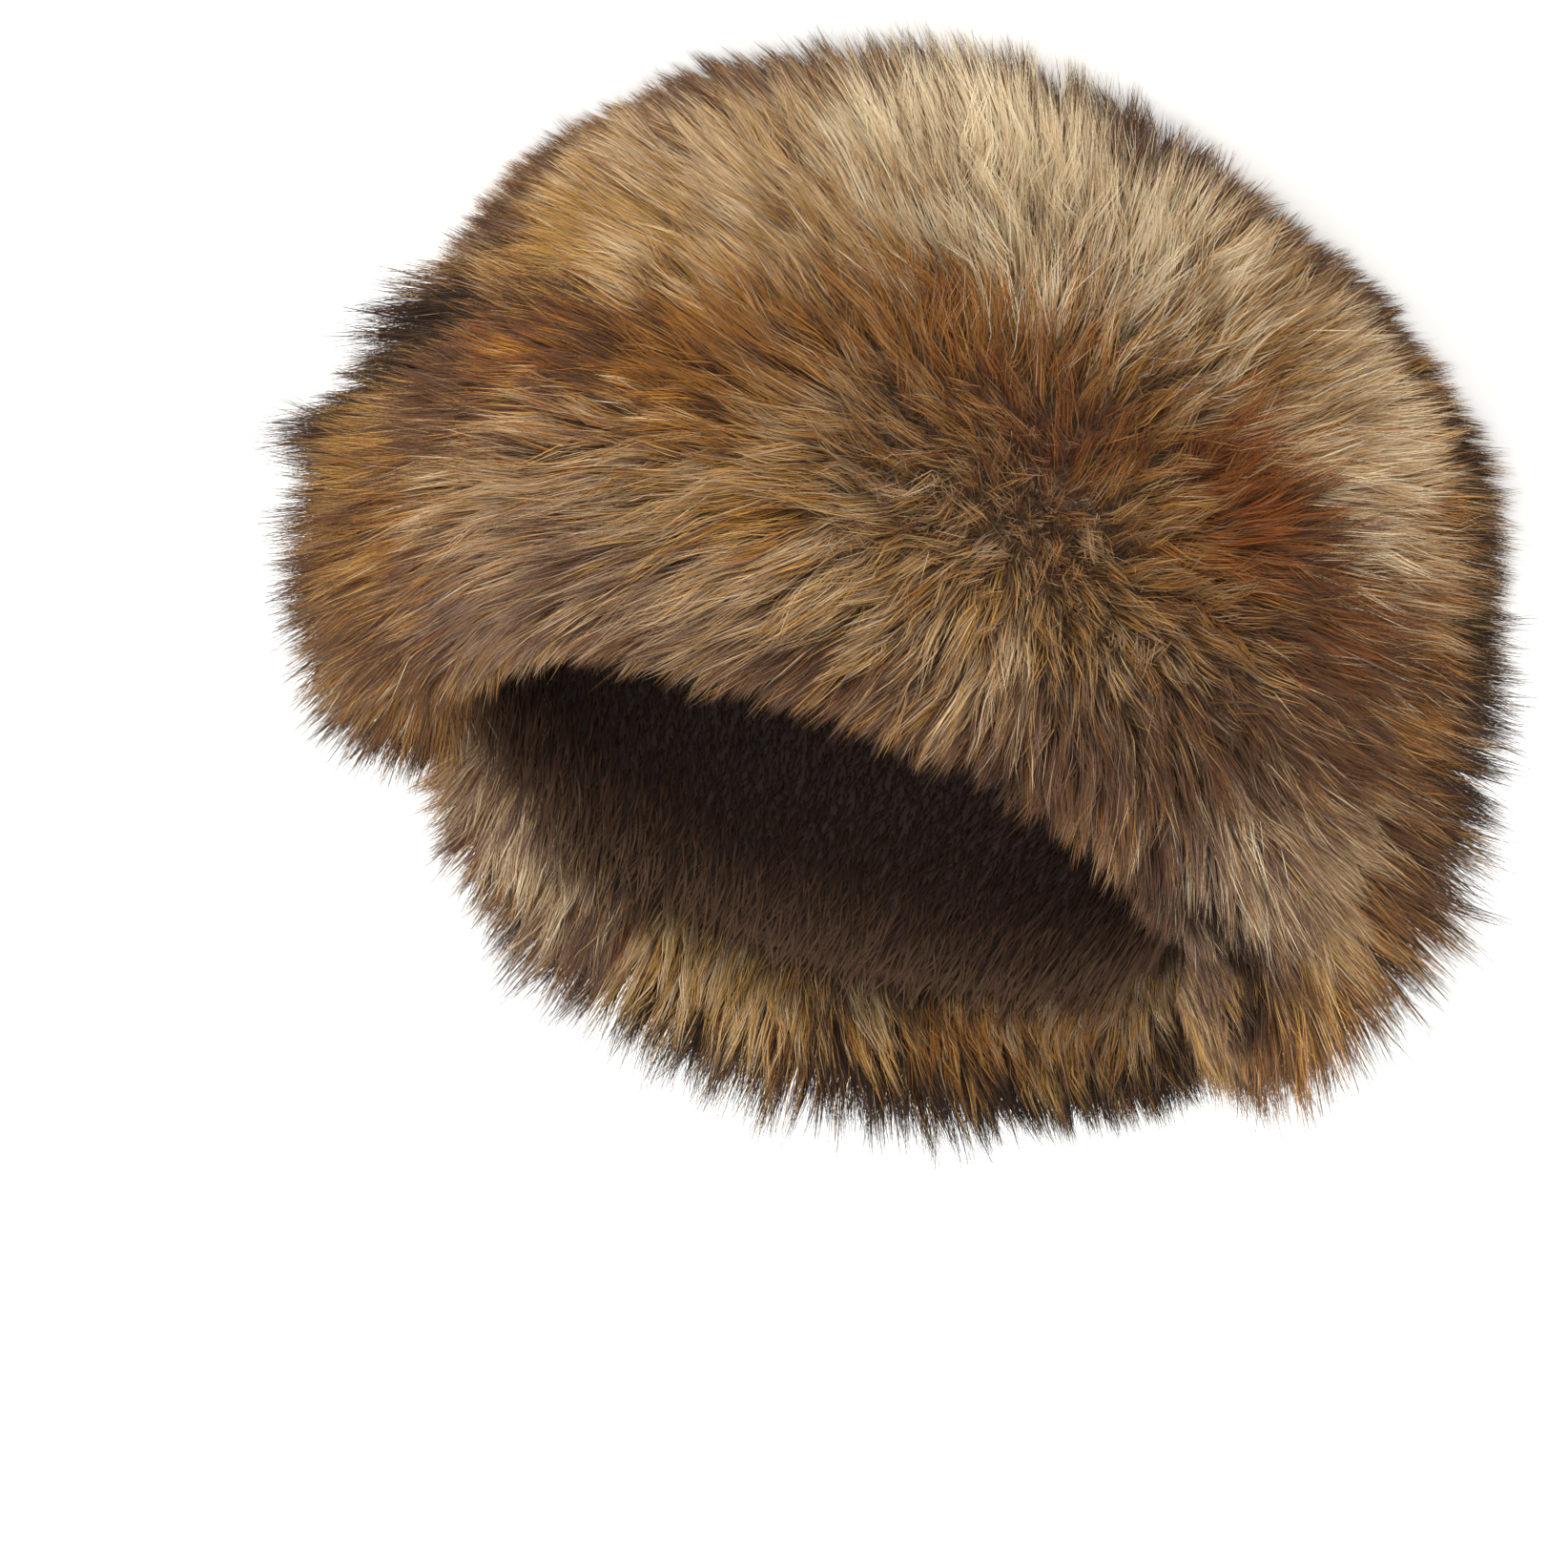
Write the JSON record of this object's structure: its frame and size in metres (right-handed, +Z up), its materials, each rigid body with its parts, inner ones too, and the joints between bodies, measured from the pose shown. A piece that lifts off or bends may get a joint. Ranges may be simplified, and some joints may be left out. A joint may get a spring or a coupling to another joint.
{
  "type": "fur headband",
  "caption": "Deep fur headband: an open padded ring with a wide puffy front panel, a short back panel, creases between them and a thin plush lining.",
  "frame": {"origin": "on the surface it rests on, under the middle of the opening", "axes": "+Z up through the opening that the head enters, which is down when it is worn; -Y out of the front panel, over the forehead; +X towards the wearer's right ear side as it lies"},
  "size_m": [0.3211, 0.3425, 0.1821],
  "materials": {
    "fur": "long pile fur, dark-tipped",
    "lining": "short plush"
  },
  "bodies": {
    "root": {"fur_front": "fur", "fur_back": "fur", "lining": "lining"}
  },
  "joints": []
}
